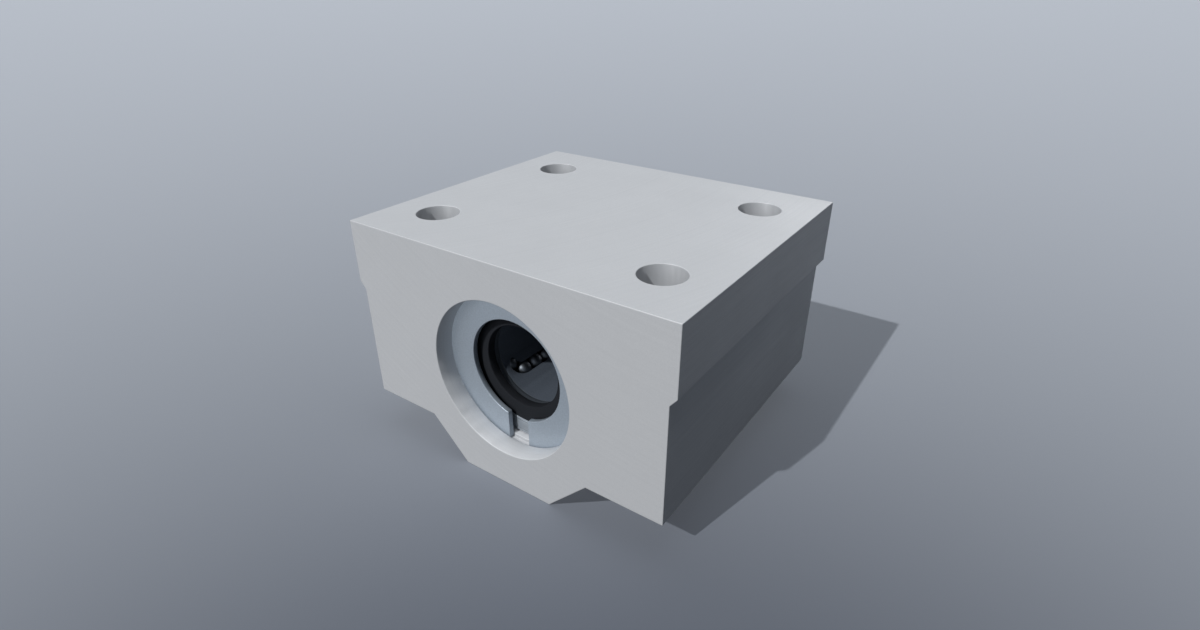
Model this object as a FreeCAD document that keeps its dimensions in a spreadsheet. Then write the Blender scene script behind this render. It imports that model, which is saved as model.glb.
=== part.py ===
"""Linear bearing block for an 8 mm round shaft.

An aluminium block holds a recirculating ball bearing between two C-shaped rings. Y runs along
the bore, +Z points at the mounting face, and the origin is on the bore's axis at mid length.
The front is the end at -Y. Each of the four ball circuits is drawn at the top of the bore,
with X across it, and then turned about the bore's axis to its place.
"""

import math
import os

import FreeCAD, Part
import Sketcher

SIZES = {
    # Block: 34 wide, 30 long, 22 high, with a narrow boss under its flange
    "block_width": 34.0,
    "block_length": 30.0,
    "face_height": 11.0,
    "rail_depth": 6.0,
    "step_inset": 0.6,
    "step_drop": 0.75,
    "flange_drop": 7.0,
    "boss_drop": 11.0,
    "boss_width": 18.0,
    "boss_flat": 10.0,
    # Mounting holes: threaded from the top, with a screw clearance right through
    "hole_spacing_x": 24.0,
    "hole_spacing_y": 18.0,
    "thread_radius": 2.0,
    "thread_depth": 8.0,
    "clearance_radius": 1.7,
    # Bearing seat and the rings that close it
    "seat_radius": 7.5,
    "bearing_length": 24.0,
    "ring_groove_radius": 7.85,
    "ring_groove_width": 0.65,
    "ring_outer_radius": 7.8,
    "ring_inner_radius": 4.95,
    "ring_thickness": 0.55,
    "ring_standoff": 0.38,
    "ring_gap": 2.3,
    # Outer sleeve: two grooves outside, a raceway between two wider ends inside
    "sleeve_chamfer": 0.3,
    "sleeve_groove_span": 17.5,
    "sleeve_groove_width": 1.1,
    "sleeve_groove_radius": 7.15,
    "raceway_radius": 5.62,
    "raceway_reach": 7.9,
    "relief_radius": 6.2,
    "flute_radius": 0.87,
    # Seals and the split rings behind them
    "seal_thickness": 1.0,
    "seal_radius": 5.7,
    "seal_lip_radius": 4.0,
    "seal_lip_width": 0.9,
    "seal_lip_thickness": 0.3,
    "seal_recess_radius": 4.75,
    "seal_web_thickness": 0.55,
    "end_ring_thickness": 0.6,
    "end_ring_radius": 6.15,
    "end_ring_gap": 1.2,
    # Cage with its ball channels
    "cage_inner_radius": 4.2,
    "cage_outer_radius": 5.55,
    "channel_radius": 0.84,
    # Balls: a straight row has one ball at each pitch, a turn has one at its start and its middle
    "shaft_radius": 4.0,
    "ball_radius": 0.794,
    "ball_pitch": 1.62,
    "balls_in_row": 10.0,
    "turn_radius": 1.15,
}

CIRCUIT_ANGLES = {
    "upper_right": 45.0,
    "lower_right": 135.0,
    "lower_left": 225.0,
    "upper_left": 315.0,
}

BALL_HEIGHT = "(Sizes.shaft_radius + Sizes.ball_radius)"
TURN_REACH = "(Sizes.balls_in_row * Sizes.ball_pitch / 2)"
BEARING_END = "(Sizes.bearing_length / 2)"
RING_BACK = f"({BEARING_END} + Sizes.ring_standoff)"
SEAL_BACK = f"({BEARING_END} - Sizes.seal_thickness)"
CAGE_END = f"({SEAL_BACK} - Sizes.end_ring_thickness)"

UPWARDS = 1
DOWNWARDS = -1
ALONG_BORE = FreeCAD.Vector(0, 1, 0)
UPRIGHT = FreeCAD.Vector(0, 0, 1)
ORIGIN = FreeCAD.Vector(0, 0, 0)


def add_sizes(doc):
    """Keep every driving dimension as a plain number in the sheet, under its own name."""
    sheet = doc.addObject("Spreadsheet::Sheet", "Sizes")
    for row, (name, value) in enumerate(SIZES.items(), start=1):
        sheet.set(f"A{row}", name)
        sheet.set(f"B{row}", str(value))
        sheet.setAlias(f"B{row}", name)
    doc.recompute()
    return sheet


def measure(doc, expression):
    """The present value, in millimetres, of an expression in the sheet's names."""
    return float(doc.Sizes.evalExpression(expression))


def add_body(doc, label):
    body = doc.addObject("PartDesign::Body", label)
    body.Label = label
    return body


def origin_feature(body, role):
    return next(item for item in body.Origin.OriginFeatures if item.Role == role)


def add_sketch(body, name, plane, offset=None):
    """A sketch on one of the body's own planes, moved along that plane's normal by the offset."""
    sketch = body.newObject("Sketcher::SketchObject", name)
    sketch.AttachmentSupport = [(origin_feature(body, plane), "")]
    sketch.MapMode = "FlatFace"
    if offset:
        sketch.setExpression("AttachmentOffset.Base.z", offset)
    return sketch


def bind_point(sketch, geometry, point, place):
    """Hold one point of a sketch at a place given as two expressions from the origin."""
    for kind, expression in zip(("DistanceX", "DistanceY"), place):
        value = measure(sketch.Document, expression)
        index = sketch.addConstraint(Sketcher.Constraint(kind, -1, 1, geometry, point, value))
        sketch.setExpression(f"Constraints[{index}]", expression)


def add_outline(sketch, places):
    """A closed outline of straight lines through the places, each given as two expressions."""
    points = [
        FreeCAD.Vector(measure(sketch.Document, x), measure(sketch.Document, y), 0)
        for x, y in places
    ]
    first = sketch.GeometryCount
    count = len(points)
    for index in range(count):
        sketch.addGeometry(Part.LineSegment(points[index], points[(index + 1) % count]))
    for index in range(count):
        following = first + (index + 1) % count
        sketch.addConstraint(Sketcher.Constraint("Coincident", first + index, 2, following, 1))
        bind_point(sketch, first + index, 1, places[index])


def add_circle(sketch, place, radius):
    """A circle whose centre and radius are expressions."""
    doc = sketch.Document
    centre = FreeCAD.Vector(measure(doc, place[0]), measure(doc, place[1]), 0)
    circle = sketch.addGeometry(Part.Circle(centre, UPRIGHT, measure(doc, radius)))
    index = sketch.addConstraint(Sketcher.Constraint("Radius", circle, measure(doc, radius)))
    sketch.setExpression(f"Constraints[{index}]", radius)
    if (centre.x, centre.y) == (0, 0):
        sketch.addConstraint(Sketcher.Constraint("Coincident", circle, 3, -1, 1))
    else:
        bind_point(sketch, circle, 3, place)


def add_round_ended(sketch, half_length, centre_x, radius):
    """A closed slot outline along the sketch's second axis, with a half circle at each end."""
    doc = sketch.Document
    reach = measure(doc, half_length)
    middle = measure(doc, centre_x)
    size = measure(doc, radius)
    ends = [FreeCAD.Vector(middle, reach, 0), FreeCAD.Vector(middle, -reach, 0)]
    starts = [FreeCAD.Vector(middle + size, 0, 0), FreeCAD.Vector(middle - size, 0, 0)]
    arcs = []
    for turn, end in enumerate(ends):
        circle = Part.Circle(end, UPRIGHT, size)
        start = turn * math.pi
        arcs.append(sketch.addGeometry(Part.ArcOfCircle(circle, start, start + math.pi)))
    sides = [
        sketch.addGeometry(Part.LineSegment(start - FreeCAD.Vector(0, way * reach, 0),
                                            start + FreeCAD.Vector(0, way * reach, 0)))
        for start, way in zip(starts, (1, -1))
    ]
    for side, arc in ((sides[0], arcs[0]), (sides[1], arcs[1])):
        sketch.addConstraint(Sketcher.Constraint("Tangent", side, 2, arc, 1))
    for side, arc in ((sides[1], arcs[0]), (sides[0], arcs[1])):
        sketch.addConstraint(Sketcher.Constraint("Tangent", arc, 2, side, 1))
    for arc, reach_name in ((arcs[0], half_length), (arcs[1], f"-{half_length}")):
        bind_point(sketch, arc, 3, (centre_x, reach_name))
    index = sketch.addConstraint(Sketcher.Constraint("Radius", arcs[0], size))
    sketch.setExpression(f"Constraints[{index}]", radius)


def add_pad(body, sketch, length, both_ways=False):
    pad = body.newObject("PartDesign::Pad", f"{sketch.Name}Pad")
    pad.Profile = sketch
    pad.setExpression("Length", length)
    pad.Midplane = both_ways
    body.Document.recompute()
    return pad


def add_pocket(body, sketch, length, both_ways=False, forward=False):
    """A pocket that must take material away, against the sketch's normal unless forward."""
    before = body.Shape.Volume
    pocket = body.newObject("PartDesign::Pocket", f"{sketch.Name}Pocket")
    pocket.Profile = sketch
    pocket.setExpression("Length", length)
    pocket.Midplane = both_ways
    pocket.Reversed = forward
    body.Document.recompute()
    if body.Shape.Volume >= before:
        raise RuntimeError(f"{pocket.Name} cuts nothing")
    return pocket


def add_turned(body, sketch, kind):
    """A full turn of the sketch about its own first axis, as a Revolution or a Groove."""
    before = body.Shape.Volume if kind == "Groove" else None
    feature = body.newObject(f"PartDesign::{kind}", f"{sketch.Name}{kind}")
    feature.Profile = sketch
    feature.ReferenceAxis = (sketch, ["H_Axis"])
    feature.Angle = 360
    body.Document.recompute()
    if before is not None and body.Shape.Volume >= before:
        raise RuntimeError(f"{feature.Name} cuts nothing")
    return feature


def repeat_around_bore(body, features, count):
    """Repeat cuts evenly around the bore's axis."""
    before = body.Shape.Volume
    pattern = body.newObject("PartDesign::PolarPattern", f"{features[0].Name}Ring")
    pattern.Originals = features
    pattern.Axis = (origin_feature(body, "Y_Axis"), [""])
    pattern.Angle = 360
    pattern.Occurrences = count
    body.Tip = pattern
    body.Document.recompute()
    if body.Shape.Volume >= before:
        raise RuntimeError(f"{pattern.Name} cuts nothing")
    return pattern


def mirrored(places):
    """An outline drawn for one side, closed by its mirror image in the second axis."""
    return places + [(f"-({x})", y) for x, y in reversed(places)]


def add_housing(doc):
    """The block: stepped flange, sloped boss, bearing seat with ring grooves and four holes."""
    body = add_body(doc, "housing")
    outline = add_sketch(body, "BlockOutline", "XZ_Plane")
    step_top = "Sizes.face_height - Sizes.rail_depth"
    flange_side = "Sizes.block_width / 2 - Sizes.step_inset"
    add_outline(outline, mirrored([
        ("Sizes.block_width / 2", "Sizes.face_height"),
        ("Sizes.block_width / 2", step_top),
        (flange_side, f"{step_top} - Sizes.step_drop"),
        (flange_side, "-Sizes.flange_drop"),
        ("Sizes.boss_width / 2", "-Sizes.flange_drop"),
        ("Sizes.boss_flat / 2", "-Sizes.boss_drop"),
    ]))
    add_pad(body, outline, "Sizes.block_length", both_ways=True)

    seat = add_sketch(body, "Seat", "XZ_Plane")
    add_circle(seat, ("0", "0"), "Sizes.seat_radius")
    add_pocket(body, seat, "Sizes.block_length", both_ways=True)

    grooves = add_sketch(body, "RingGrooves", "YZ_Plane")
    groove_end = f"{RING_BACK} + Sizes.ring_groove_width"
    for side in ("", "-"):
        add_outline(grooves, [
            (f"{side}({RING_BACK})", "Sizes.ring_inner_radius"),
            (f"{side}({groove_end})", "Sizes.ring_inner_radius"),
            (f"{side}({groove_end})", "Sizes.ring_groove_radius"),
            (f"{side}({RING_BACK})", "Sizes.ring_groove_radius"),
        ])
    add_turned(body, grooves, "Groove")

    centres = [
        (f"{x} * Sizes.hole_spacing_x / 2", f"{y} * Sizes.hole_spacing_y / 2")
        for x in (-1, 1)
        for y in (-1, 1)
    ]
    threads = add_sketch(body, "ThreadedHoles", "XY_Plane", "Sizes.face_height")
    clearances = add_sketch(body, "ClearanceHoles", "XY_Plane", "Sizes.face_height")
    for centre in centres:
        add_circle(threads, centre, "Sizes.thread_radius")
        add_circle(clearances, centre, "Sizes.clearance_radius")
    add_pocket(body, threads, "Sizes.thread_depth")
    add_pocket(body, clearances, "Sizes.face_height + Sizes.boss_drop")
    return body


def add_split_ring(doc, label, turned, near_face, radii, thickness, gap, gap_side):
    """A flat ring with a parallel-sided gap, which opens downwards or upwards along Z."""
    body = add_body(doc, label)
    ring = add_sketch(body, "Ring", "XZ_Plane", near_face)
    for radius in radii:
        add_circle(ring, ("0", "0"), radius)
    add_pad(body, ring, thickness)
    opening = add_sketch(body, "Gap", "XZ_Plane", near_face)
    past_ring = f"{gap_side} * {max(radii, key=lambda radius: measure(doc, radius))} * 1.1"
    add_outline(opening, [
        (f"-{gap} / 2", "0"),
        (f"{gap} / 2", "0"),
        (f"{gap} / 2", past_ring),
        (f"-{gap} / 2", past_ring),
    ])
    add_pocket(body, opening, thickness, forward=True)
    turn_about(body, UPRIGHT, 180.0 if turned else 0.0)
    return body


def add_circlip(doc, label, turned):
    """The ring that keeps the bearing in the block, just off its end, with its gap at the bottom."""
    radii = ("Sizes.ring_outer_radius", "Sizes.ring_inner_radius")
    return add_split_ring(doc, label, turned, RING_BACK, radii, "Sizes.ring_thickness",
                          "Sizes.ring_gap", DOWNWARDS)


def add_end_ring(doc, label, turned):
    """The ring behind a seal that keeps the cage in the sleeve, with its gap at the top."""
    radii = ("Sizes.end_ring_radius", "Sizes.cage_inner_radius")
    return add_split_ring(doc, label, turned, CAGE_END, radii, "Sizes.end_ring_thickness",
                          "Sizes.end_ring_gap", UPWARDS)


def add_seal(doc, label, turned):
    """A wiper: flat outside, with a web that carries a lip along the shaft and a recess behind it."""
    body = add_body(doc, label)
    section = add_sketch(body, "Section", "YZ_Plane")
    lip_back = "Sizes.seal_lip_radius + Sizes.seal_lip_thickness"
    add_outline(section, [
        (f"-{BEARING_END}", "Sizes.seal_radius"),
        (f"-{BEARING_END}", "Sizes.seal_lip_radius"),
        (f"-{BEARING_END} + Sizes.seal_lip_width", "Sizes.seal_lip_radius"),
        (f"-{BEARING_END} + Sizes.seal_lip_width", lip_back),
        (f"-{BEARING_END} + Sizes.seal_web_thickness", lip_back),
        (f"-{BEARING_END} + Sizes.seal_web_thickness", "Sizes.seal_recess_radius"),
        (f"-{SEAL_BACK}", "Sizes.seal_recess_radius"),
        (f"-{SEAL_BACK}", "Sizes.seal_radius"),
    ])
    add_turned(body, section, "Revolution")
    turn_about(body, UPRIGHT, 180.0 if turned else 0.0)
    return body


def add_sleeve(doc):
    """The ground outer sleeve: grooves outside, raceway, return flutes and wide ends inside."""
    body = add_body(doc, "outer_sleeve")
    chamfered = "Sizes.seat_radius - Sizes.sleeve_chamfer"
    half = [
        (f"{BEARING_END}", "Sizes.seal_radius"),
        (f"{BEARING_END}", chamfered),
        (f"{BEARING_END} - Sizes.sleeve_chamfer", "Sizes.seat_radius"),
        ("Sizes.sleeve_groove_span / 2", "Sizes.seat_radius"),
        ("Sizes.sleeve_groove_span / 2", "Sizes.sleeve_groove_radius"),
        ("Sizes.sleeve_groove_span / 2 - Sizes.sleeve_groove_width", "Sizes.sleeve_groove_radius"),
        ("Sizes.sleeve_groove_span / 2 - Sizes.sleeve_groove_width", "Sizes.seat_radius"),
    ]
    inside = [
        ("Sizes.raceway_reach", "Sizes.raceway_radius"),
        ("Sizes.raceway_reach", "Sizes.relief_radius"),
        (SEAL_BACK, "Sizes.relief_radius"),
        (SEAL_BACK, "Sizes.seal_radius"),
    ]
    section = add_sketch(body, "Section", "YZ_Plane")
    far_side = [(f"-({x})", y) for x, y in reversed(half)]
    add_outline(section, inside + half + far_side + [(f"-({x})", y) for x, y in reversed(inside)])
    add_turned(body, section, "Revolution")

    flute = add_sketch(body, "ReturnFlute", "XZ_Plane")
    add_circle(flute, ("2 * Sizes.turn_radius", BALL_HEIGHT), "Sizes.flute_radius")
    cut = add_pocket(body, flute, f"2 * {TURN_REACH}", both_ways=True)
    repeat_around_bore(body, [cut], len(CIRCUIT_ANGLES))
    turn_about(body, ALONG_BORE, CIRCUIT_ANGLES["upper_right"])
    return body


def add_cage(doc):
    """The retainer: a tube with four round-bottomed channels, each a closed ball track."""
    body = add_body(doc, "ball_cage")
    section = add_sketch(body, "Section", "YZ_Plane")
    add_outline(section, [
        (f"-{CAGE_END}", "Sizes.cage_inner_radius"),
        (CAGE_END, "Sizes.cage_inner_radius"),
        (CAGE_END, "Sizes.cage_outer_radius"),
        (f"-{CAGE_END}", "Sizes.cage_outer_radius"),
    ])
    add_turned(body, section, "Revolution")

    walls = add_sketch(body, "TrackWalls", "XY_Plane", BALL_HEIGHT)
    outer = "(Sizes.turn_radius + Sizes.channel_radius)"
    inner = "(Sizes.turn_radius - Sizes.channel_radius)"
    for radius in (outer, inner):
        add_round_ended(walls, TURN_REACH, "Sizes.turn_radius", radius)
    opening = add_pocket(body, walls, "Sizes.cage_outer_radius", forward=True)

    path = add_sketch(body, "TrackPath", "XY_Plane", BALL_HEIGHT)
    add_round_ended(path, TURN_REACH, "Sizes.turn_radius", "Sizes.turn_radius")
    profile = add_sketch(body, "TrackSection", "XZ_Plane", TURN_REACH)
    add_circle(profile, ("0", BALL_HEIGHT), "Sizes.channel_radius")
    before = body.Shape.Volume
    floor = body.newObject("PartDesign::SubtractivePipe", "TrackFloor")
    floor.Profile = profile
    floor.Spine = path
    doc.recompute()
    if body.Shape.Volume >= before:
        raise RuntimeError("TrackFloor cuts nothing")
    repeat_around_bore(body, [opening, floor], len(CIRCUIT_ANGLES))
    turn_about(body, ALONG_BORE, CIRCUIT_ANGLES["upper_right"])
    return body


def turn_about(item, axis, degrees):
    item.Placement = FreeCAD.Placement(ORIGIN, FreeCAD.Rotation(axis, degrees))


def ball_groups(doc):
    """Ball centres in one circuit's own frame, in four groups that each move as one."""
    height = measure(doc, BALL_HEIGHT)
    reach = measure(doc, TURN_REACH)
    pitch = measure(doc, "Sizes.ball_pitch")
    radius = measure(doc, "Sizes.turn_radius")
    steps = range(int(measure(doc, "Sizes.balls_in_row")))
    return {
        "load_balls": [(0.0, -reach + step * pitch, height) for step in steps],
        "rear_turn_balls": [(0.0, reach, height), (radius, reach + radius, height)],
        "return_balls": [(2 * radius, reach - step * pitch, height) for step in steps],
        "front_turn_balls": [(2 * radius, -reach, height), (radius, -reach - radius, height)],
    }


def add_ball_group(doc, label, centres, angle):
    """Separate balls at their centres, all turned to their circuit's place around the bore."""
    balls = []
    for centre in centres:
        ball = doc.addObject("Part::Sphere", f"{label}_ball")
        ball.setExpression("Radius", "Sizes.ball_radius")
        ball.Placement.Base = FreeCAD.Vector(*centre)
        balls.append(ball)
    group = doc.addObject("Part::Compound", label)
    group.Label = label
    group.Links = balls
    doc.recompute()
    turn_about(group, ALONG_BORE, angle)
    return group


def add_balls(doc):
    return [
        add_ball_group(doc, f"{circuit}_{group}", centres, angle)
        for circuit, angle in CIRCUIT_ANGLES.items()
        for group, centres in ball_groups(doc).items()
    ]


def check_and_export(doc, pieces):
    """Stop on any failed object or bad shape, and then write each piece to its own file."""
    doc.recompute()
    failed = [item.Name for item in doc.Objects if {"Invalid", "Error"} & set(item.State)]
    failed += [item.Label for item in pieces if item.Shape.isNull() or not item.Shape.isValid()]
    if failed:
        raise RuntimeError(f"failed: {failed}")
    os.makedirs("parts", exist_ok=True)
    for item in pieces:
        item.Shape.exportStep(f"parts/{item.Label}.step")
        print(f"{item.Label}: {len(item.Shape.Solids)} solids, {item.Shape.Volume:.2f} mm3")


def main():
    doc = FreeCAD.newDocument("LinearBearingBlock")
    add_sizes(doc)
    pieces = [
        add_housing(doc),
        add_circlip(doc, "front_circlip", turned=False),
        add_circlip(doc, "rear_circlip", turned=True),
        add_sleeve(doc),
        add_cage(doc),
        add_seal(doc, "front_seal", turned=False),
        add_seal(doc, "rear_seal", turned=True),
        add_end_ring(doc, "front_end_ring", turned=False),
        add_end_ring(doc, "rear_end_ring", turned=True),
    ]
    pieces += add_balls(doc)
    check_and_export(doc, pieces)


main()
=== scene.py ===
"""Looks of the linear bearing block: finishes, tapped threads, studio and camera.

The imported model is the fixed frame. Its pieces keep their shape and place, and get fine edge
breaks and procedural finishes here. The screw threads are the one form that is added.
All lengths are in metres, in the frame of the model: Y along the bore, Z towards the mounting face.
"""

import logging
import math
from dataclasses import dataclass, field
from enum import Enum
from typing import Iterable, Sequence

import bmesh
import bpy
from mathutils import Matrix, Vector


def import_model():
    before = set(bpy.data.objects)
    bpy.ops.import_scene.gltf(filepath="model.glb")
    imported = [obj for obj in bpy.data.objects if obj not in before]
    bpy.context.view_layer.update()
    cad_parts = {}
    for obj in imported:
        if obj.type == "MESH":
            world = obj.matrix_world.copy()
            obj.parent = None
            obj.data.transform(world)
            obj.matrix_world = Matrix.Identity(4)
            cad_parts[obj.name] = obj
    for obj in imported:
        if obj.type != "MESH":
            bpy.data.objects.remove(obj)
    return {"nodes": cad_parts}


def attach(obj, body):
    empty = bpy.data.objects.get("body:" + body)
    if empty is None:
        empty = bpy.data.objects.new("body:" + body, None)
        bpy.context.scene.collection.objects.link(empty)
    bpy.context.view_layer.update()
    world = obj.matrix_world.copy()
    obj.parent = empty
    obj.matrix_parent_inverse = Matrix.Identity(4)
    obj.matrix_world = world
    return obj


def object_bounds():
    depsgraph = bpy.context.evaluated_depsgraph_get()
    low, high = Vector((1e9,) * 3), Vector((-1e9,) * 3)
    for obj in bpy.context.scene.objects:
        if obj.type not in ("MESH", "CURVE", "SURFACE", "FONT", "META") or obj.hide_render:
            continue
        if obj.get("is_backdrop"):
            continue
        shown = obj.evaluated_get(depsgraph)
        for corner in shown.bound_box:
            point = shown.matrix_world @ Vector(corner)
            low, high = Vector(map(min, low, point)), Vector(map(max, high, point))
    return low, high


LOG = logging.getLogger("bearing_block")

MM = 0.001
ROOT_BODY = "block"

FLOOR = "floor"
RECESSED = ("front_circlip", "outer_sleeve", "front_seal")

WHOLE = (0.0, 1.0)

Colour = tuple[float, float, float]
Point = tuple[float, float, float]
Objects = dict[str, bpy.types.Object]
Marks = tuple[bpy.types.NodeSocket, bpy.types.NodeSocket]


def opaque(colour: Colour) -> tuple[float, float, float, float]:
    """Give the colour full opacity, as sockets take it."""
    return (*colour, 1.0)


class Lay(Enum):
    """How a face of the block was made, which sets how its fine marks run."""

    EXTRUDED = "extruded"
    MILLED_TOP = "milled_top"
    MILLED_END = "milled_end"
    BORED = "bored"
    DRILLED = "drilled"


class Blend(Enum):
    """What a Mix node blends, with the numbers of its two inputs and its output."""

    NUMBERS = ("FLOAT", 2, 3, 0)
    COLOURS = ("RGBA", 6, 7, 2)


class NodeBoard:
    """A node tree with short ways to add nodes, set their sockets and join them."""

    column_width = 190

    def __init__(self, tree: bpy.types.NodeTree) -> None:
        """Keep the tree.

        Args:
            tree: The node tree that the nodes go into.
        """
        self.tree = tree
        self.column = 0

    def add(self, kind: str, **settings: object) -> bpy.types.Node:
        """Add a node, to the right of the one before it.

        Args:
            kind: The node's type, such as "ShaderNodeMath".
            settings: Properties of the node, by name.

        Returns:
            The new node.
        """
        made = self.tree.nodes.new(kind)
        made.location = (self.column * self.column_width, 0)
        self.column += 1
        for name, value in settings.items():
            setattr(made, name, value)
        return made

    def join(self, source: bpy.types.NodeSocket, target: bpy.types.NodeSocket) -> None:
        """Join an output socket to an input socket."""
        self.tree.links.new(source, target)

    def feed(self, target: bpy.types.NodeSocket, value: object) -> None:
        """Join a socket to the target, or set the target to a plain value.

        Args:
            target: The input socket.
            value: A socket, or the value to set.
        """
        if isinstance(value, bpy.types.NodeSocket):
            self.join(value, target)
        else:
            target.default_value = value

    def math(self, operation: str, *values: object) -> bpy.types.NodeSocket:
        """Add a Math node.

        Args:
            operation: The node's operation, such as "MULTIPLY".
            values: The sockets or numbers that it takes, in order.

        Returns:
            The node's result.
        """
        made = self.add("ShaderNodeMath", operation=operation)
        for place, value in zip(made.inputs, values):
            self.feed(place, value)
        return made.outputs[0]

    def vector_math(self, operation: str, *values: object) -> bpy.types.Node:
        """Add a Vector Math node.

        Args:
            operation: The node's operation, such as "DISTANCE".
            values: The sockets or vectors that it takes, in order.

        Returns:
            The node, whose result is a vector in its first output or a number in "Value".
        """
        made = self.add("ShaderNodeVectorMath", operation=operation)
        for place, value in zip(made.inputs, values):
            self.feed(place, value)
        return made

    def axes(self, coordinate: str) -> dict[str, bpy.types.NodeSocket]:
        """Split a texture coordinate.

        Args:
            coordinate: The coordinate's name, such as "Object" or "Normal".

        Returns:
            Its X, Y and Z, by name.
        """
        parts = self.add("ShaderNodeSeparateXYZ")
        self.join(self.add("ShaderNodeTexCoord").outputs[coordinate], parts.inputs[0])
        return {axis: parts.outputs[axis] for axis in "XYZ"}

    def distance(self, first: bpy.types.NodeSocket, second: bpy.types.NodeSocket) -> bpy.types.NodeSocket:
        """Add the distance that two offsets at right angles make.

        Args:
            first: One offset.
            second: The other offset.

        Returns:
            The distance.
        """
        squares = [self.math("POWER", offset, 2.0) for offset in (first, second)]
        return self.math("SQRT", self.math("ADD", *squares))

    def remap(self, value: bpy.types.NodeSocket, source: Sequence[float],
              target: Sequence[float]) -> bpy.types.NodeSocket:
        """Map a value from one range to another, and keep it inside.

        Args:
            value: The value to map.
            source: Lowest and highest value that come in.
            target: What those two become.

        Returns:
            The mapped value.
        """
        made = self.add("ShaderNodeMapRange", clamp=True)
        self.join(value, made.inputs["Value"])
        numbers = ("From Min", "From Max", "To Min", "To Max")
        for name, number in zip(numbers, (*source, *target)):
            made.inputs[name].default_value = number
        return made.outputs["Result"]

    def mix(self, share: bpy.types.NodeSocket, first: object, second: object,
            blend: Blend = Blend.COLOURS) -> bpy.types.NodeSocket:
        """Mix two colours or two numbers.

        Args:
            share: How much of the second shows, from 0 to 1.
            first: A socket or a value.
            second: A socket or a value.
            blend: Which of the two kinds they are.

        Returns:
            The mixed colour or number.
        """
        kind, first_input, second_input, output = blend.value
        made = self.add("ShaderNodeMix", data_type=kind)
        self.join(share, made.inputs["Factor"])
        self.feed(made.inputs[first_input], first)
        self.feed(made.inputs[second_input], second)
        return made.outputs[output]


@dataclass(frozen=True)
class NoiseLook:
    """A noise texture's finer layers, their strength, and the range of it that a mask uses."""

    detail: float
    roughness: float = 0.55
    contrast: tuple[float, float] = (0.3, 0.7)


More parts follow.
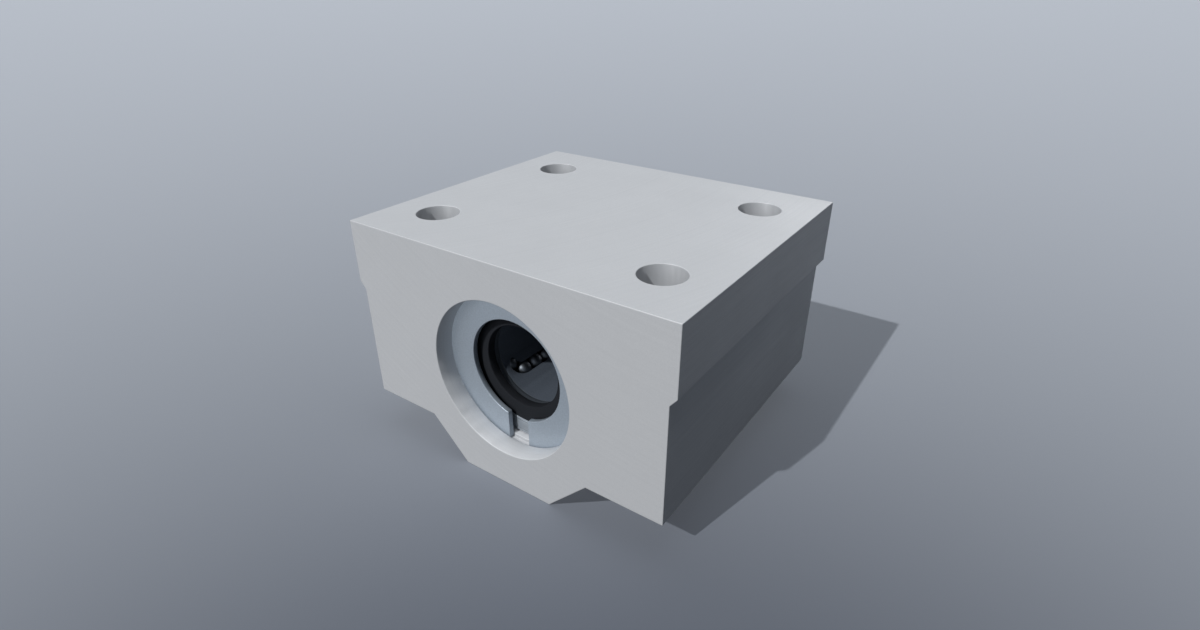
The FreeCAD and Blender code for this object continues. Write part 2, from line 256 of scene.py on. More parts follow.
class EffectLibrary:
    """Shader node groups that several finishes share, each built once."""

    number = "NodeSocketFloat"
    vector = "NodeSocketVector"
    mask_only = ("Mask",)
    mask_and_height = ("Mask", "Height")
    grain_noise = NoiseLook(3.0)
    line_noise = NoiseLook(4.0, 0.65, (0.28, 0.72))
    ring_noise = NoiseLook(3.0, 0.6)
    arc_noise = NoiseLook(4.0, 0.7)
    arc_patches = NoiseLook(2.0)
    arc_patch_scale = 260.0
    faintest_arcs = 0.35
    arc_middle = 0.5
    film_noise = NoiseLook(5.0, 0.5, (0.35, 0.68))
    wear_noise = NoiseLook(3.0, 0.6, (0.38, 0.62))
    wear_samples = 6
    wear_bend = (0.90, 0.995)
    least_wear = 0.15

    def __init__(self) -> None:
        """Build every group."""
        self.grain = self._build_grain()
        self.lines = self._build_lines()
        self.rings = self._build_rings()
        self.arcs = self._build_arcs()
        self.film = self._build_film()
        self.wear = self._build_wear()

    @staticmethod
    def place(board: NodeBoard, group: bpy.types.NodeTree, **values: object) -> bpy.types.Node:
        """Place a group in a material with its own values.

        Args:
            board: The material's board.
            group: The group to place.
            values: Input values, by socket name.

        Returns:
            The group node.
        """
        made = board.add("ShaderNodeGroup")
        made.node_tree = group
        for name, value in values.items():
            made.inputs[name].default_value = value
        return made

    def _new_group(self, name: str, inputs: dict[str, str],
                   outputs: Iterable[str]) -> tuple[NodeBoard, bpy.types.Node, bpy.types.Node]:
        """Make an empty group with its sockets.

        Args:
            name: The group's name.
            inputs: Socket type of each input, by its name.
            outputs: Name of each output, all single numbers.

        Returns:
            The group's board, its input node and its output node.
        """
        tree = bpy.data.node_groups.new(name, "ShaderNodeTree")
        for label, kind in inputs.items():
            tree.interface.new_socket(label, in_out="INPUT", socket_type=kind)
        for label in outputs:
            tree.interface.new_socket(label, in_out="OUTPUT", socket_type=self.number)
        board = NodeBoard(tree)
        return board, board.add("NodeGroupInput"), board.add("NodeGroupOutput")

    @staticmethod
    def _noise(board: NodeBoard, where: bpy.types.NodeSocket, scale: object,
               look: NoiseLook) -> bpy.types.NodeSocket:
        """Add a noise texture.

        Args:
            board: The board that it goes on.
            where: The coordinates that it reads.
            scale: A number or a socket.
            look: Its layers and their strength.

        Returns:
            The noise, from 0 to 1.
        """
        made = board.add("ShaderNodeTexNoise", noise_dimensions="3D")
        board.join(where, made.inputs["Vector"])
        board.feed(made.inputs["Scale"], scale)
        made.inputs["Detail"].default_value = look.detail
        made.inputs["Roughness"].default_value = look.roughness
        return made.outputs["Fac"]

    def _build_grain(self) -> bpy.types.NodeTree:
        """Make even fine grain, as blasting, moulding or etching leaves it.

        Returns:
            The group, with a mask and a height.
        """
        board, given, made = self._new_group("fine_grain", {"Scale": self.number}, self.mask_and_height)
        where = board.add("ShaderNodeTexCoord").outputs["Object"]
        noise = self._noise(board, where, given.outputs["Scale"], self.grain_noise)
        board.join(board.remap(noise, self.grain_noise.contrast, WHOLE), made.inputs["Mask"])
        board.join(noise, made.inputs["Height"])
        return board.tree

    def _build_lines(self) -> bpy.types.NodeTree:
        """Make straight fine lines: noise that is drawn out along one direction by Stretch.

        Returns:
            The group, with a mask and a height.
        """
        board, given, made = self._new_group("drawn_lines", {"Stretch": self.vector}, self.mask_and_height)
        where = board.add("ShaderNodeTexCoord").outputs["Object"]
        drawn = board.vector_math("MULTIPLY", where, given.outputs["Stretch"]).outputs[0]
        noise = self._noise(board, drawn, 1.0, self.line_noise)
        board.join(board.remap(noise, self.line_noise.contrast, WHOLE), made.inputs["Mask"])
        board.join(noise, made.inputs["Height"])
        return board.tree

    def _build_rings(self) -> bpy.types.NodeTree:
        """Make fine rings around the bore, as turning and grinding leave them.

        Returns:
            The group, with a mask and a height.
        """
        board, given, made = self._new_group("turned_rings", {"Scale": self.number}, self.mask_and_height)
        where = board.axes("Object")
        place = board.add("ShaderNodeCombineXYZ")
        board.join(board.distance(where["X"], where["Z"]), place.inputs["X"])
        board.join(where["Y"], place.inputs["Y"])
        noise = self._noise(board, place.outputs[0], given.outputs["Scale"], self.ring_noise)
        board.join(board.remap(noise, self.ring_noise.contrast, WHOLE), made.inputs["Mask"])
        board.join(noise, made.inputs["Height"])
        return board.tree

    def _build_arcs(self) -> bpy.types.NodeTree:
        """Make the wide arcs of a face mill, around a far centre and the same all along one axis.

        Returns:
            The group, with a mask and a height.
        """
        sockets = {"Centre": self.vector, "Flatten": self.vector, "Scale": self.number}
        board, given, made = self._new_group("tool_arcs", sockets, self.mask_and_height)
        where = board.add("ShaderNodeTexCoord").outputs["Object"]
        apart = board.vector_math("SUBTRACT", where, given.outputs["Centre"]).outputs[0]
        flat = board.vector_math("MULTIPLY", apart, given.outputs["Flatten"]).outputs[0]
        place = board.add("ShaderNodeCombineXYZ")
        board.join(board.vector_math("LENGTH", flat).outputs["Value"], place.inputs["X"])
        fine = self._noise(board, place.outputs[0], given.outputs["Scale"], self.arc_noise)
        patches = self._noise(board, where, self.arc_patch_scale, self.arc_patches)
        strength = board.remap(patches, self.arc_patches.contrast, (self.faintest_arcs, 1.0))
        swing = board.math("MULTIPLY", board.math("SUBTRACT", fine, self.arc_middle), strength)
        height = board.math("ADD", swing, self.arc_middle)
        board.join(board.remap(height, self.arc_noise.contrast, WHOLE), made.inputs["Mask"])
        board.join(height, made.inputs["Height"])
        return board.tree

    def _build_film(self) -> bpy.types.NodeTree:
        """Make broad soft variation, as handling, oil and uneven anodising leave it.

        Returns:
            The group, with a mask.
        """
        board, given, made = self._new_group("soft_film", {"Scale": self.number}, self.mask_only)
        where = board.add("ShaderNodeTexCoord").outputs["Object"]
        noise = self._noise(board, where, given.outputs["Scale"], self.film_noise)
        board.join(board.remap(noise, self.film_noise.contrast, WHOLE), made.inputs["Mask"])
        return board.tree

    def _build_wear(self) -> bpy.types.NodeTree:
        """Make uneven stretches of wear along the edges, where a rounded normal leaves the true one.

        Returns:
            The group, with a mask.
        """
        sockets = dict.fromkeys(("Patchiness", "Width", "Amount"), self.number)
        board, given, made = self._new_group("edge_wear", sockets, self.mask_only)
        where = board.add("ShaderNodeTexCoord").outputs["Object"]
        rounded = board.add("ShaderNodeBevel", samples=self.wear_samples)
        board.join(given.outputs["Width"], rounded.inputs["Radius"])
        true_normal = board.add("ShaderNodeNewGeometry").outputs["Normal"]
        alike = board.vector_math("DOT_PRODUCT", rounded.outputs["Normal"], true_normal)
        edge = board.remap(alike.outputs["Value"], self.wear_bend, (1.0, 0.0))
        patches = self._noise(board, where, given.outputs["Patchiness"], self.wear_noise)
        uneven = board.remap(patches, self.wear_noise.contrast, (self.least_wear, 1.0))
        strength = board.math("MULTIPLY", edge, uneven)
        board.join(board.math("MULTIPLY", strength, given.outputs["Amount"]), made.inputs["Mask"])
        return board.tree


@dataclass(frozen=True)
class Finish:
    """What every finish has: a base colour, a second colour for its marks, and its gloss."""

    name: str
    colour: Colour
    mark_colour: Colour
    metallic: float
    roughness: tuple[float, float]
    bump_depth: float
    specular: float = 0.5
    film_scale: float = 140.0
    film_tint: float = 0.35
    marks_in_gloss: float = 0.6
    film_in_gloss: float = 0.4
    worn_colour: Colour = (0.66, 0.68, 0.70)
    wear: float = 0.0
    wear_patchiness: float = 900.0
    wear_width: float = 0.12 * MM

    def build(self, effects: EffectLibrary) -> bpy.types.Material:
        """Make the material.

        Args:
            effects: The shared shader groups.

        Returns:
            The finished material.
        """
        material = bpy.data.materials.new(self.name)
        material.use_nodes = True
        material.node_tree.nodes.clear()
        board = NodeBoard(material.node_tree)
        marks, height = self.marks(board, effects)
        film = effects.place(board, effects.film, Scale=self.film_scale).outputs["Mask"]
        colour = self._colour(board, marks, film)
        gloss = board.math("ADD", board.math("MULTIPLY", marks, self.marks_in_gloss),
                           board.math("MULTIPLY", film, self.film_in_gloss))
        if self.wear:
            worn = self._worn(board, effects)
            colour = board.mix(worn, colour, opaque(self.worn_colour))
            gloss = board.math("SUBTRACT", gloss, worn)
        bump = board.add("ShaderNodeBump")
        bump.inputs["Distance"].default_value = self.bump_depth
        board.join(height, bump.inputs["Height"])
        shader = board.add("ShaderNodeBsdfPrincipled")
        shader.inputs["Metallic"].default_value = self.metallic
        shader.inputs["Specular IOR Level"].default_value = self.specular
        board.join(colour, shader.inputs["Base Color"])
        board.join(board.remap(gloss, WHOLE, self.roughness), shader.inputs["Roughness"])
        board.join(bump.outputs["Normal"], shader.inputs["Normal"])
        output = board.add("ShaderNodeOutputMaterial")
        board.join(shader.outputs[0], output.inputs["Surface"])
        return material

    def _colour(self, board: NodeBoard, marks: bpy.types.NodeSocket,
                film: bpy.types.NodeSocket) -> bpy.types.NodeSocket:
        """Mix the surface's colour, with any painted shade, before any wear.

        Args:
            board: The material's board.
            marks: The marks' mask.
            film: The film's mask.

        Returns:
            The colour.
        """
        base = board.mix(marks, opaque(self.colour), opaque(self.mark_colour))
        tint = board.math("MULTIPLY", film, self.film_tint)
        return self.shade(board, board.mix(tint, base, opaque(self.mark_colour)))

    def _worn(self, board: NodeBoard, effects: EffectLibrary) -> bpy.types.NodeSocket:
        """Find the worn edges.

        Args:
            board: The material's board.
            effects: The shared shader groups.

        Returns:
            Their mask.
        """
        worn = effects.place(board, effects.wear, Patchiness=self.wear_patchiness,
                             Width=self.wear_width, Amount=self.wear)
        return worn.outputs["Mask"]

    def marks(self, board: NodeBoard, effects: EffectLibrary) -> Marks:
        """Make the surface's fine marks, which each kind of finish has of its own.

        Args:
            board: The material's board.
            effects: The shared shader groups.

        Returns:
            The marks' mask and their height, both from 0 to 1.
        """
        raise NotImplementedError

    def shade(self, board: NodeBoard, colour: bpy.types.NodeSocket) -> bpy.types.NodeSocket:
        """Leave the colour as it is: no shade is painted into this finish."""
        return colour


@dataclass(frozen=True)
class GrainFinish(Finish):
    """A moulded, blasted, stamped or polished surface with even grain."""

    grain_size: float = 0.15 * MM

    def marks(self, board: NodeBoard, effects: EffectLibrary) -> Marks:
        """Make even grain of this finish's own size.

        Args:
            board: The material's board.
            effects: The shared shader groups.

        Returns:
            The marks' mask and their height.
        """
        grain = effects.place(board, effects.grain, Scale=1.0 / self.grain_size)
        return grain.outputs["Mask"], grain.outputs["Height"]


@dataclass(frozen=True)
class TurnedFinish(Finish):
    """A turned or ground surface with fine rings around the bore."""

    ring_spacing: float = 0.12 * MM

    def marks(self, board: NodeBoard, effects: EffectLibrary) -> Marks:
        """Make rings of this finish's own spacing.

        Args:
            board: The material's board.
            effects: The shared shader groups.

        Returns:
            The marks' mask and their height.
        """
        rings = effects.place(board, effects.rings, Scale=1.0 / self.ring_spacing)
        return rings.outputs["Mask"], rings.outputs["Height"]


@dataclass(frozen=True)
class BlockFinish(Finish):
    """The anodised block: extruded sides, milled top and ends, a bored seat and drilled holes."""

    line_spacing: float = 0.16 * MM
    line_length: float = 9.0 * MM
    mill_spacing: float = 0.34 * MM
    top_mill_centre: Point = (-46.0 * MM, 12.0 * MM, 0.0)
    end_mill_centre: Point = (21.0 * MM, 0.0, 58.0 * MM)
    bore_spacing: float = 0.15 * MM
    bore_reach: float = 8.0 * MM
    drill_spacing: float = 0.20 * MM
    hole_places: tuple[float, float] = (12.0 * MM, 9.0 * MM)
    hole_reach: float = 2.03 * MM
    # painted shade: the colour that the walls of the holes are darkened to
    hole_shade_colour: Colour = (0.400, 0.412, 0.430)
    grain_size: float = 0.09 * MM
    marks_share: float = 0.62
    least_facing: float = 0.8
    most_tilt: float = 0.5

    def marks(self, board: NodeBoard, effects: EffectLibrary) -> Marks:
        """Make marks that follow each face's own making, under even grain.

        Args:
            board: The material's board.
            effects: The shared shader groups.

        Returns:
            The marks' mask and their height.
        """
        placed = {lay: self._place(board, effects, lay) for lay in Lay}
        shares = self._shares(board)
        grain = effects.place(board, effects.grain, Scale=1.0 / self.grain_size)
        results = []
        for socket in ("Mask", "Height"):
            chosen = placed[Lay.EXTRUDED].outputs[socket]
            for lay, share in shares.items():
                chosen = board.mix(share, chosen, placed[lay].outputs[socket], Blend.NUMBERS)
            drawn = board.math("MULTIPLY", chosen, self.marks_share)
            even = board.math("MULTIPLY", grain.outputs[socket], 1.0 - self.marks_share)
            results.append(board.math("ADD", drawn, even))
        return results[0], results[1]

    def _place(self, board: NodeBoard, effects: EffectLibrary, lay: Lay) -> bpy.types.Node:
        """Place the marks of one way of making.

        Args:
            board: The material's board.
            effects: The shared shader groups.
            lay: The way of making.

        Returns:
            The group node.
        """
        drawn = 1.0 / self.line_length
        if lay is Lay.EXTRUDED:
            fine = 1.0 / self.line_spacing
            return effects.place(board, effects.lines, Stretch=(fine, drawn, fine))
        if lay is Lay.DRILLED:
            return effects.place(board, effects.lines, Stretch=(drawn, drawn, 1.0 / self.drill_spacing))
        if lay is Lay.BORED:
            return effects.place(board, effects.rings, Scale=1.0 / self.bore_spacing)
        centre, flatten = {
            Lay.MILLED_TOP: (self.top_mill_centre, (1.0, 1.0, 0.0)),
            Lay.MILLED_END: (self.end_mill_centre, (1.0, 0.0, 1.0)),
        }[lay]
        return effects.place(board, effects.arcs, Centre=centre, Flatten=flatten,
                             Scale=1.0 / self.mill_spacing)

    def _shares(self, board: NodeBoard) -> dict[Lay, bpy.types.NodeSocket]:
        """Find the faces of each machined way of making, by their direction and place.

        Args:
            board: The material's board.

        Returns:
            A mask for each machined way. A later one covers those before it.
        """
        where, normal = board.axes("Object"), board.axes("Normal")
        radius = board.distance(where["X"], where["Z"])
        along = board.math("ABSOLUTE", normal["Y"])
        return {
            Lay.MILLED_TOP: board.math("GREATER_THAN", normal["Z"], self.least_facing),
            Lay.BORED: board.math("LESS_THAN", radius, self.bore_reach),
            Lay.MILLED_END: board.math("GREATER_THAN", along, self.least_facing),
            Lay.DRILLED: self._in_hole(board),
        }

    def _in_hole(self, board: NodeBoard) -> bpy.types.NodeSocket:
        """Find the walls of the four holes.

        Args:
            board: The material's board.

        Returns:
            1 on those walls and 0 elsewhere.
        """
        where, normal = board.axes("Object"), board.axes("Normal")
        apart = [
            board.math("SUBTRACT", board.math("ABSOLUTE", where[axis]), middle)
            for axis, middle in zip("XY", self.hole_places)
        ]
        near = board.math("LESS_THAN", board.distance(*apart), self.hole_reach)
        upright = board.math("LESS_THAN", board.math("ABSOLUTE", normal["Z"]), self.most_tilt)
        return board.math("MULTIPLY", near, upright)

    def shade(self, board: NodeBoard, colour: bpy.types.NodeSocket) -> bpy.types.NodeSocket:
        """Deepen the colour on the walls of the holes: painted shade in their recesses."""
        # painted shade: the hole walls are mixed towards the darker colour
        return board.mix(self._in_hole(board), colour, opaque(self.hole_shade_colour))


@dataclass(frozen=True)
class FinishSet:
    """Every finish of the object, by what it is used on."""

    block: Finish = BlockFinish(
        "anodised_aluminium", colour=(0.600, 0.613, 0.630), mark_colour=(0.500, 0.513, 0.532),
        metallic=0.08, roughness=(0.36, 0.60), bump_depth=0.0030 * MM, specular=0.35, wear=0.20)
    thread: Finish = GrainFinish(
        "cut_thread_aluminium", colour=(0.400, 0.412, 0.430), mark_colour=(0.330, 0.342, 0.362),
        metallic=0.30, roughness=(0.34, 0.48), bump_depth=0.0008 * MM)
    ring: Finish = GrainFinish(
        "stamped_spring_steel", colour=(0.385, 0.440, 0.500), mark_colour=(0.320, 0.368, 0.422),
        metallic=0.35, roughness=(0.34, 0.50), bump_depth=0.0012 * MM,
        worn_colour=(0.50, 0.54, 0.58), wear=0.35)
    end_ring: Finish = GrainFinish(
        "oiled_spring_steel", colour=(0.085, 0.098, 0.115), mark_colour=(0.060, 0.070, 0.084),
        metallic=0.20, roughness=(0.40, 0.55), bump_depth=0.0010 * MM, specular=0.35)
    sleeve: Finish = TurnedFinish(
        "ground_bearing_steel", colour=(0.400, 0.440, 0.480), mark_colour=(0.320, 0.355, 0.392),
        metallic=0.45, roughness=(0.22, 0.36), bump_depth=0.0007 * MM,
        worn_colour=(0.52, 0.55, 0.58), wear=0.4)
    ball: Finish = GrainFinish(
        "polished_ball_steel", colour=(0.140, 0.153, 0.170), mark_colour=(0.108, 0.119, 0.134),
        metallic=1.0, roughness=(0.40, 0.50), bump_depth=0.00005 * MM, grain_size=0.5 * MM)
    cage: Finish = GrainFinish(
        "cage_resin", colour=(0.105, 0.125, 0.155), mark_colour=(0.080, 0.096, 0.120),
        metallic=0.0, roughness=(0.40, 0.55), bump_depth=0.0015 * MM, specular=0.35,
        grain_size=0.12 * MM)
    seal: Finish = GrainFinish(
        "seal_rubber", colour=(0.0140, 0.0158, 0.0190), mark_colour=(0.0210, 0.0228, 0.0270),
        metallic=0.0, roughness=(0.60, 0.78), bump_depth=0.0025 * MM, specular=0.06,
        grain_size=0.10 * MM)


class Dresser:
    """Gives carried pieces their material and fine edge breaks."""

    weld_distance = 0.0005 * MM
    sharpest_smooth_deg = 35.0
    edge_segments = 2

    def __init__(self, nodes: Objects, effects: EffectLibrary) -> None:
        """Keep the frame's objects and the shared effects.

        Args:
            nodes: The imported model's objects, by name.
            effects: The shared shader groups.
        """
        self.nodes = nodes
        self.effects = effects
        self.made: dict[str, bpy.types.Material] = {}

    def material(self, finish: Finish) -> bpy.types.Material:
        """Build the finish's material on first use, and keep it for the next.

        Args:
            finish: The finish.

        Returns:
            Its material.
        """
        if finish.name not in self.made:
            self.made[finish.name] = finish.build(self.effects)
        return self.made[finish.name]

    def paint(self, piece: bpy.types.Object, finish: Finish) -> None:
        """Put one finish on the whole of a piece.

        Args:
            piece: The object to paint.
            finish: Its finish.
        """
        material = self.material(finish)
        if not piece.material_slots:
            piece.data.materials.append(material)
        for place in piece.material_slots:
            place.link = "OBJECT"
            place.material = material

    def break_edges(self, piece: bpy.types.Object, width: float) -> None:
        """Break a piece's sharp edges by a small rounded width.

        Args:
            piece: The object whose edges are broken.
            width: The width of the break.
        """
        weld = piece.modifiers.new("join_faces", "WELD")
        weld.merge_threshold = self.weld_distance
        bevel = piece.modifiers.new("broken_edges", "BEVEL")
        bevel.width = width
        bevel.segments = self.edge_segments
        bevel.limit_method = "ANGLE"
        bevel.angle_limit = math.radians(self.sharpest_smooth_deg)
        bevel.loop_slide = False
        bevel.use_clamp_overlap = False
        bevel.harden_normals = True

    def dress(self, name: str, finish: Finish, edge: float = 0.0) -> None:
        """Paint a carried piece and break its edges.

        Args:
            name: The node's name.
            finish: Its finish.
            edge: The width of its broken edges, or 0 for none.
        """
        piece = self.nodes[name]
        self.paint(piece, finish)
        if edge:
            self.break_edges(piece, edge)
        LOG.info("dressed %s in %s", name, finish.name)


@dataclass
class TappedHole:
    """One tapped hole's thread: a ridge that winds down the hole's wall."""

    name: str
    centre: Vector
    major_radius: float = 2.0 * MM
    minor_radius: float = 1.66 * MM
    pitch: float = 0.7 * MM
    top_gap: float = 2.1 * MM
    depth: float = 7.4 * MM
    steps_a_turn: int = 40
    root_width: float = 0.58 * MM
    crest_width: float = 0.10 * MM
    sunk: float = 0.02 * MM
    fade_turns: float = 0.6
    least_height: float = 0.04
    least_root: float = 0.35

    def build(self) -> bpy.types.Object:
        """Make the thread as one closed ridge.

        Returns:
            The thread's object, in place and with no parent.
        """
        made = bmesh.new()
        turns = (self.depth - self.top_gap) / self.pitch
        count = int(turns * self.steps_a_turn)
        sections = [self._section(made, step / self.steps_a_turn, turns) for step in range(count + 1)]
        for near, far in zip(sections, sections[1:]):
            for side in range(len(near)):
                after = (side + 1) % len(near)
                flank = made.faces.new((near[side], near[after], far[after], far[side]))
                flank.smooth = True
                made.edges.get((near[side], far[side])).smooth = False
        made.faces.new(list(reversed(sections[0])))
        made.faces.new(sections[-1])
        bmesh.ops.recalc_face_normals(made, faces=made.faces)
        mesh = bpy.data.meshes.new(self.name)
        made.to_mesh(mesh)
        made.free()
        piece = bpy.data.objects.new(self.name, mesh)
        bpy.context.scene.collection.objects.link(piece)
        return piece

    def _section(self, made: bmesh.types.BMesh, turn: float, turns: float) -> list[bmesh.types.BMVert]:
        """Make one section of the ridge, lower and narrower near the ridge's two ends.

        Args:
            made: The mesh that it goes into.
            turn: How many turns down the ridge it is.
            turns: How many turns the whole ridge has.

        Returns:
            Its four corners: upper root, upper crest, lower crest, lower root.
        """
        fade = min(1.0, turn / self.fade_turns, (turns - turn) / self.fade_turns)
        fade = max(self.least_height, fade)
        angle = -turn * math.tau
        middle = self.centre.z - self.top_gap - turn * self.pitch
        wall = self.major_radius + self.sunk
        crest = self.major_radius - (self.major_radius - self.minor_radius) * fade
        half_root = self.root_width / 2 * (self.least_root + (1.0 - self.least_root) * fade)
        half_crest = self.crest_width / 2
        corners = ((wall, half_root), (crest, half_crest), (crest, -half_crest), (wall, -half_root))
        return [
            made.verts.new((
                self.centre.x + radius * math.cos(angle),
                self.centre.y + radius * math.sin(angle),
                middle + rise,
            ))
            for radius, rise in corners
        ]


@dataclass
class BlockAssembly:
    """The aluminium block with its four tapped holes."""

    dresser: Dresser
    finishes: FinishSet
    edge: float = 0.07 * MM
    hole_spacing: tuple[float, float] = (24.0 * MM, 18.0 * MM)
    face_height: float = 11.0 * MM

    def build(self) -> None:
        """Dress the block and cut its threads."""
        self.dresser.dress("housing", self.finishes.block, self.edge)
        for name, centre in self._hole_places().items():
            thread = TappedHole(name, centre).build()
            self.dresser.paint(thread, self.finishes.thread)
            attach(thread, ROOT_BODY)
            LOG.info("built %s", name)

    def _hole_places(self) -> dict[str, Vector]:
        """Work out where the four holes are.

        Returns:
            The middle of each hole's mouth, by its thread's name.
        """
        half_x, half_y = (spacing / 2 for spacing in self.hole_spacing)
        return {
            f"{end}_{side}_thread": Vector((across * half_x, along * half_y, self.face_height))
            for end, along in (("front", -1), ("rear", 1))
            for side, across in (("left", -1), ("right", 1))
        }


@dataclass
class RingAssembly:
    """The two C-shaped rings that keep the bearing in the block."""

    dresser: Dresser
    finishes: FinishSet
    edge: float = 0.06 * MM

    def build(self) -> None:
        """Dress both rings."""
        for end in ("front", "rear"):
            self.dresser.dress(f"{end}_circlip", self.finishes.ring, self.edge)


@dataclass
class BearingAssembly:
    """The ball bearing: sleeve, cage, seals, end rings and the balls of its four circuits."""

    dresser: Dresser
    finishes: FinishSet
    sleeve_edge: float = 0.06 * MM
    seal_edge: float = 0.07 * MM
    cage_edge: float = 0.03 * MM

    def build(self) -> None:
        """Dress every piece of the bearing."""
        self.dresser.dress("outer_sleeve", self.finishes.sleeve, self.sleeve_edge)
        self.dresser.dress("ball_cage", self.finishes.cage, self.cage_edge)
        for end in ("front", "rear"):
            self.dresser.dress(f"{end}_seal", self.finishes.seal, self.seal_edge)
            self.dresser.dress(f"{end}_end_ring", self.finishes.end_ring, self.sleeve_edge)
        for name in sorted(self.dresser.nodes):
            if name.endswith("_balls"):
                self.dresser.dress(name, self.finishes.ball)


class Link(Enum):
    """How a lamp's link is meant: only the linked things, or all but these."""

    ONLY = "INCLUDE"
    ALL_BUT = "EXCLUDE"


@dataclass(frozen=True)
class Lamp:
    """A far light: the way it travels, its strength, how wide it looks, and what it is kept for.

    It shines on everything, or else only on what linked names, or on all but that. The pieces named
    in passes cast no shadow in its light, and with shadows off nothing does.
    """

    name: str
    travel: Point
    strength: float
    width_deg: float
    linked: tuple[str, ...] = ()
    link: Link = Link.ONLY
    passes: tuple[str, ...] = ()
    shadows: bool = True

    def build(self, things: Objects) -> None:
        """Put the light in the scene.

        Args:
            things: The pieces and the floor, by name.
        """
        light = bpy.data.lights.new(self.name, "SUN")
        light.energy = self.strength
        light.angle = math.radians(self.width_deg)
        light.use_shadow = self.shadows
        lamp = bpy.data.objects.new(self.name, light)
        lamp.rotation_mode = "QUATERNION"
        lamp.rotation_quaternion = Vector(self.travel).to_track_quat("-Z", "Y")
        if self.linked:
            lamp.light_linking.receiver_collection = self._group(things, self.linked, self.link)
        if self.passes:
            lamp.light_linking.blocker_collection = self._group(things, self.passes, Link.ALL_BUT)
        bpy.context.scene.collection.objects.link(lamp)

    def _group(self, things: Objects, names: Iterable[str], link: Link) -> bpy.types.Collection:
        """Gather the things of one link.

        Args:
            things: The pieces and the floor, by name.
            names: Those that the link names.
            link: How the link is meant.

        Returns:
            A collection that only this lamp uses.
        """
        group = bpy.data.collections.new(f"{self.name}_links")
        for name in names:
            group.objects.link(things[name])
        for member in group.collection_objects:
            member.light_linking.link_state = link.value
        return group


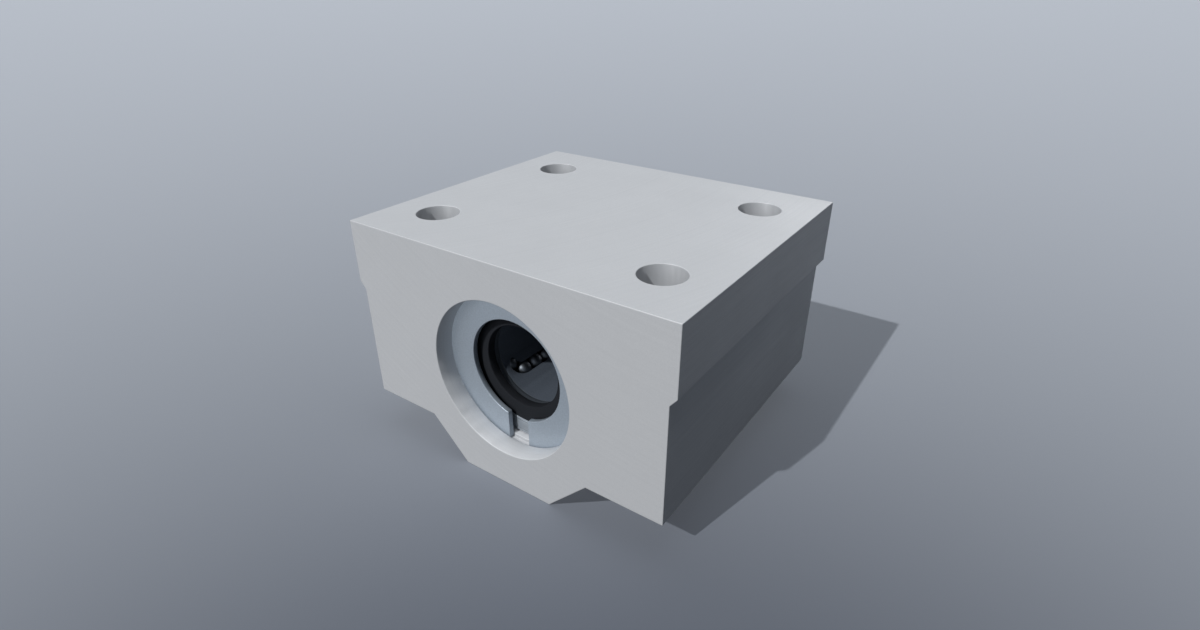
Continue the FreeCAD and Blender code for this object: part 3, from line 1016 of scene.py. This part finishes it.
@dataclass
class Studio:
    """A pale floor and plain lights, and a camera at the photograph's viewing angle.

    The floor has two lamps of its own, so that the object's shadow on it is even in tone. The pieces
    that lie in the mouth of the bore have a main light that the block's edge doesn't shade.
    """

    pieces: Objects
    floor_height: float
    floor_span: float = 6.0
    # painted shade: the floor's colour where the painted pool is darkest
    floor_painted_shade: Colour = (0.123, 0.138, 0.168)
    floor_far: Colour = (0.602, 0.639, 0.700)
    floor_thrown_back: float = 0.4
    shade_pool_centre: tuple[float, float] = (34.5 * MM, -49.3 * MM)
    shade_pool_height: float = 42.9 * MM
    steepest_deg: float = 52.0
    shade_pool_easing: float = 0.35
    sky_shown: Colour = (0.490, 0.529, 0.588)
    sky_light: Colour = (0.022, 0.028, 0.036)
    overhead_light: Colour = (0.80, 0.86, 0.93)
    overhead_focus: float = 14.0
    lamps: tuple[Lamp, ...] = (
        Lamp("main_light", (0.15, 0.75, -0.65), 1.85, 0.7, (FLOOR, *RECESSED), Link.ALL_BUT),
        Lamp("floor_light", (0.145, 0.66, -0.64), 1.74, 0.7, (FLOOR,)),
        Lamp("recess_light", (0.15, 0.75, -0.65), 2.40, 0.7, RECESSED, passes=("housing",)),
        Lamp("soft_fill", (0.20, 0.95, -0.20), 0.72, 30.0, (FLOOR,), Link.ALL_BUT),
        Lamp("overhead_fill", (0.0, 0.24, -0.97), 1.25, 20.0, (FLOOR, *RECESSED), Link.ALL_BUT),
        Lamp("rear_fill", (0.08, -0.95, -0.28), 0.35, 30.0, (FLOOR,), Link.ALL_BUT),
        Lamp("floor_fill", (0.0, 0.0, -1.0), 1.02, 20.0, (FLOOR,), shadows=False),
    )
    azimuth_deg: float = 35.0
    elevation_deg: float = 27.9
    distance: float = 68.13 * MM
    nearest_seen: float = 1.0 * MM
    vertical_view_deg: float = 50.0
    picture: tuple[int, int] = (1200, 630)
    sensor: float = 36.0
    parts: list[str] = field(default_factory=list)

    def build(self) -> None:
        """Make the floor, the surroundings, the lamps and the camera."""
        floor = self._build_floor()
        self._build_sky()
        for lamp in self.lamps:
            lamp.build(self.pieces | {FLOOR: floor})
            self.parts.append(lamp.name)
        self._build_camera()
        bpy.context.scene.view_settings.view_transform = "Standard"
        LOG.info("studio has %s", ", ".join(self.parts))

    def _build_floor(self) -> bpy.types.Object:
        """Make a pale floor, with a pool of painted shade, that the object stands on.

        Returns:
            The floor.
        """
        half = self.floor_span / 2
        mesh = bpy.data.meshes.new(FLOOR)
        corners = [(-half, -half, 0), (half, -half, 0), (half, half, 0), (-half, half, 0)]
        mesh.from_pydata(corners, [], [(0, 1, 2, 3)])
        floor = bpy.data.objects.new(FLOOR, mesh)
        floor.location.z = self.floor_height
        bpy.context.scene.collection.objects.link(floor)
        mesh.materials.append(self._floor_paint())
        floor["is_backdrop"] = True
        self.parts.append(FLOOR)
        return floor

    def _floor_paint(self) -> bpy.types.Material:
        """Make matt paint that throws little light back, with a pool of painted shade around one place.

        The painted shade at each point of the floor follows the slope up to a fixed point above that
        place.

        Returns:
            The floor's material.
        """
        material = bpy.data.materials.new("floor_paint")
        material.use_nodes = True
        material.node_tree.nodes.clear()
        board = NodeBoard(material.node_tree)
        where = board.add("ShaderNodeTexCoord").outputs["Object"]
        apart = board.vector_math("DISTANCE", where, (*self.shade_pool_centre, 0.0)).outputs["Value"]
        slope = board.math("ARCTAN2", self.shade_pool_height, apart)
        depth = board.math("DIVIDE", slope, math.radians(self.steepest_deg))
        # painted shade: the floor darkens where the pool's point is seen steeply
        shade_share = board.math("SMOOTH_MIN", depth, 1.0, self.shade_pool_easing)
        shown = board.mix(shade_share, opaque(self.floor_far), opaque(self.floor_painted_shade))
        thrown = board.vector_math("SCALE", shown)
        thrown.inputs["Scale"].default_value = self.floor_thrown_back
        shader = board.add("ShaderNodeBsdfPrincipled")
        shader.inputs["Roughness"].default_value = 1.0
        shader.inputs["Specular IOR Level"].default_value = 0.0
        board.join(board.mix(self._seen(board), thrown.outputs[0], shown), shader.inputs["Base Color"])
        output = board.add("ShaderNodeOutputMaterial")
        board.join(shader.outputs[0], output.inputs["Surface"])
        return material

    @staticmethod
    def _seen(board: NodeBoard) -> bpy.types.NodeSocket:
        """Find where a surface is looked at, straight or in gloss, and not only sending light on.

        Args:
            board: The board that it goes on.

        Returns:
            1 for such rays and 0 for the others.
        """
        path = board.add("ShaderNodeLightPath")
        seen = board.math("MAXIMUM", path.outputs["Is Camera Ray"], path.outputs["Is Glossy Ray"])
        return board.math("MAXIMUM", seen, path.outputs["Is Transmission Ray"])

    def _build_sky(self) -> None:
        """Light everything softly, and show the pale surroundings in gloss."""
        world = bpy.data.worlds.new("studio")
        world.use_nodes = True
        world.node_tree.nodes.clear()
        board = NodeBoard(world.node_tree)
        height = board.math("MAXIMUM", board.axes("Generated")["Z"], 0.0)
        overhead = board.math("POWER", height, self.overhead_focus)
        light = board.mix(overhead, opaque(self.sky_light), opaque(self.overhead_light))
        sky = board.add("ShaderNodeBackground")
        board.join(board.mix(self._seen(board), light, opaque(self.sky_shown)), sky.inputs["Color"])
        output = board.add("ShaderNodeOutputWorld")
        board.join(sky.outputs[0], output.inputs["Surface"])
        bpy.context.scene.world = world
        self.parts.append("sky")

    def _build_camera(self) -> None:
        """Stand the camera where the photograph was taken from."""
        width, height = self.picture
        focal_pixels = height / 2 / math.tan(math.radians(self.vertical_view_deg) / 2)
        data = bpy.data.cameras.new("camera")
        data.sensor_width = self.sensor
        data.lens = focal_pixels * self.sensor / width
        data.clip_start = self.nearest_seen
        camera = bpy.data.objects.new("camera", data)
        azimuth, elevation = math.radians(self.azimuth_deg), math.radians(self.elevation_deg)
        outward = Vector((
            math.sin(azimuth) * math.cos(elevation),
            -math.cos(azimuth) * math.cos(elevation),
            math.sin(elevation),
        ))
        camera.location = outward * self.distance
        camera.rotation_mode = "QUATERNION"
        camera.rotation_quaternion = (-outward).to_track_quat("-Z", "Y")
        bpy.context.scene.collection.objects.link(camera)
        bpy.context.scene.camera = camera
        self.parts.append("camera")


def main() -> None:
    """Load the frame, dress each assembly in order, and set up the studio."""
    logging.basicConfig(level=logging.INFO, format="%(name)s: %(message)s")
    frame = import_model()
    model_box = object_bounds()
    dresser = Dresser(frame["nodes"], EffectLibrary())
    finishes = FinishSet()
    BlockAssembly(dresser, finishes).build()
    RingAssembly(dresser, finishes).build()
    BearingAssembly(dresser, finishes).build()
    Studio(frame["nodes"], floor_height=model_box[0].z).build()


if __name__ == "__main__":
    main()
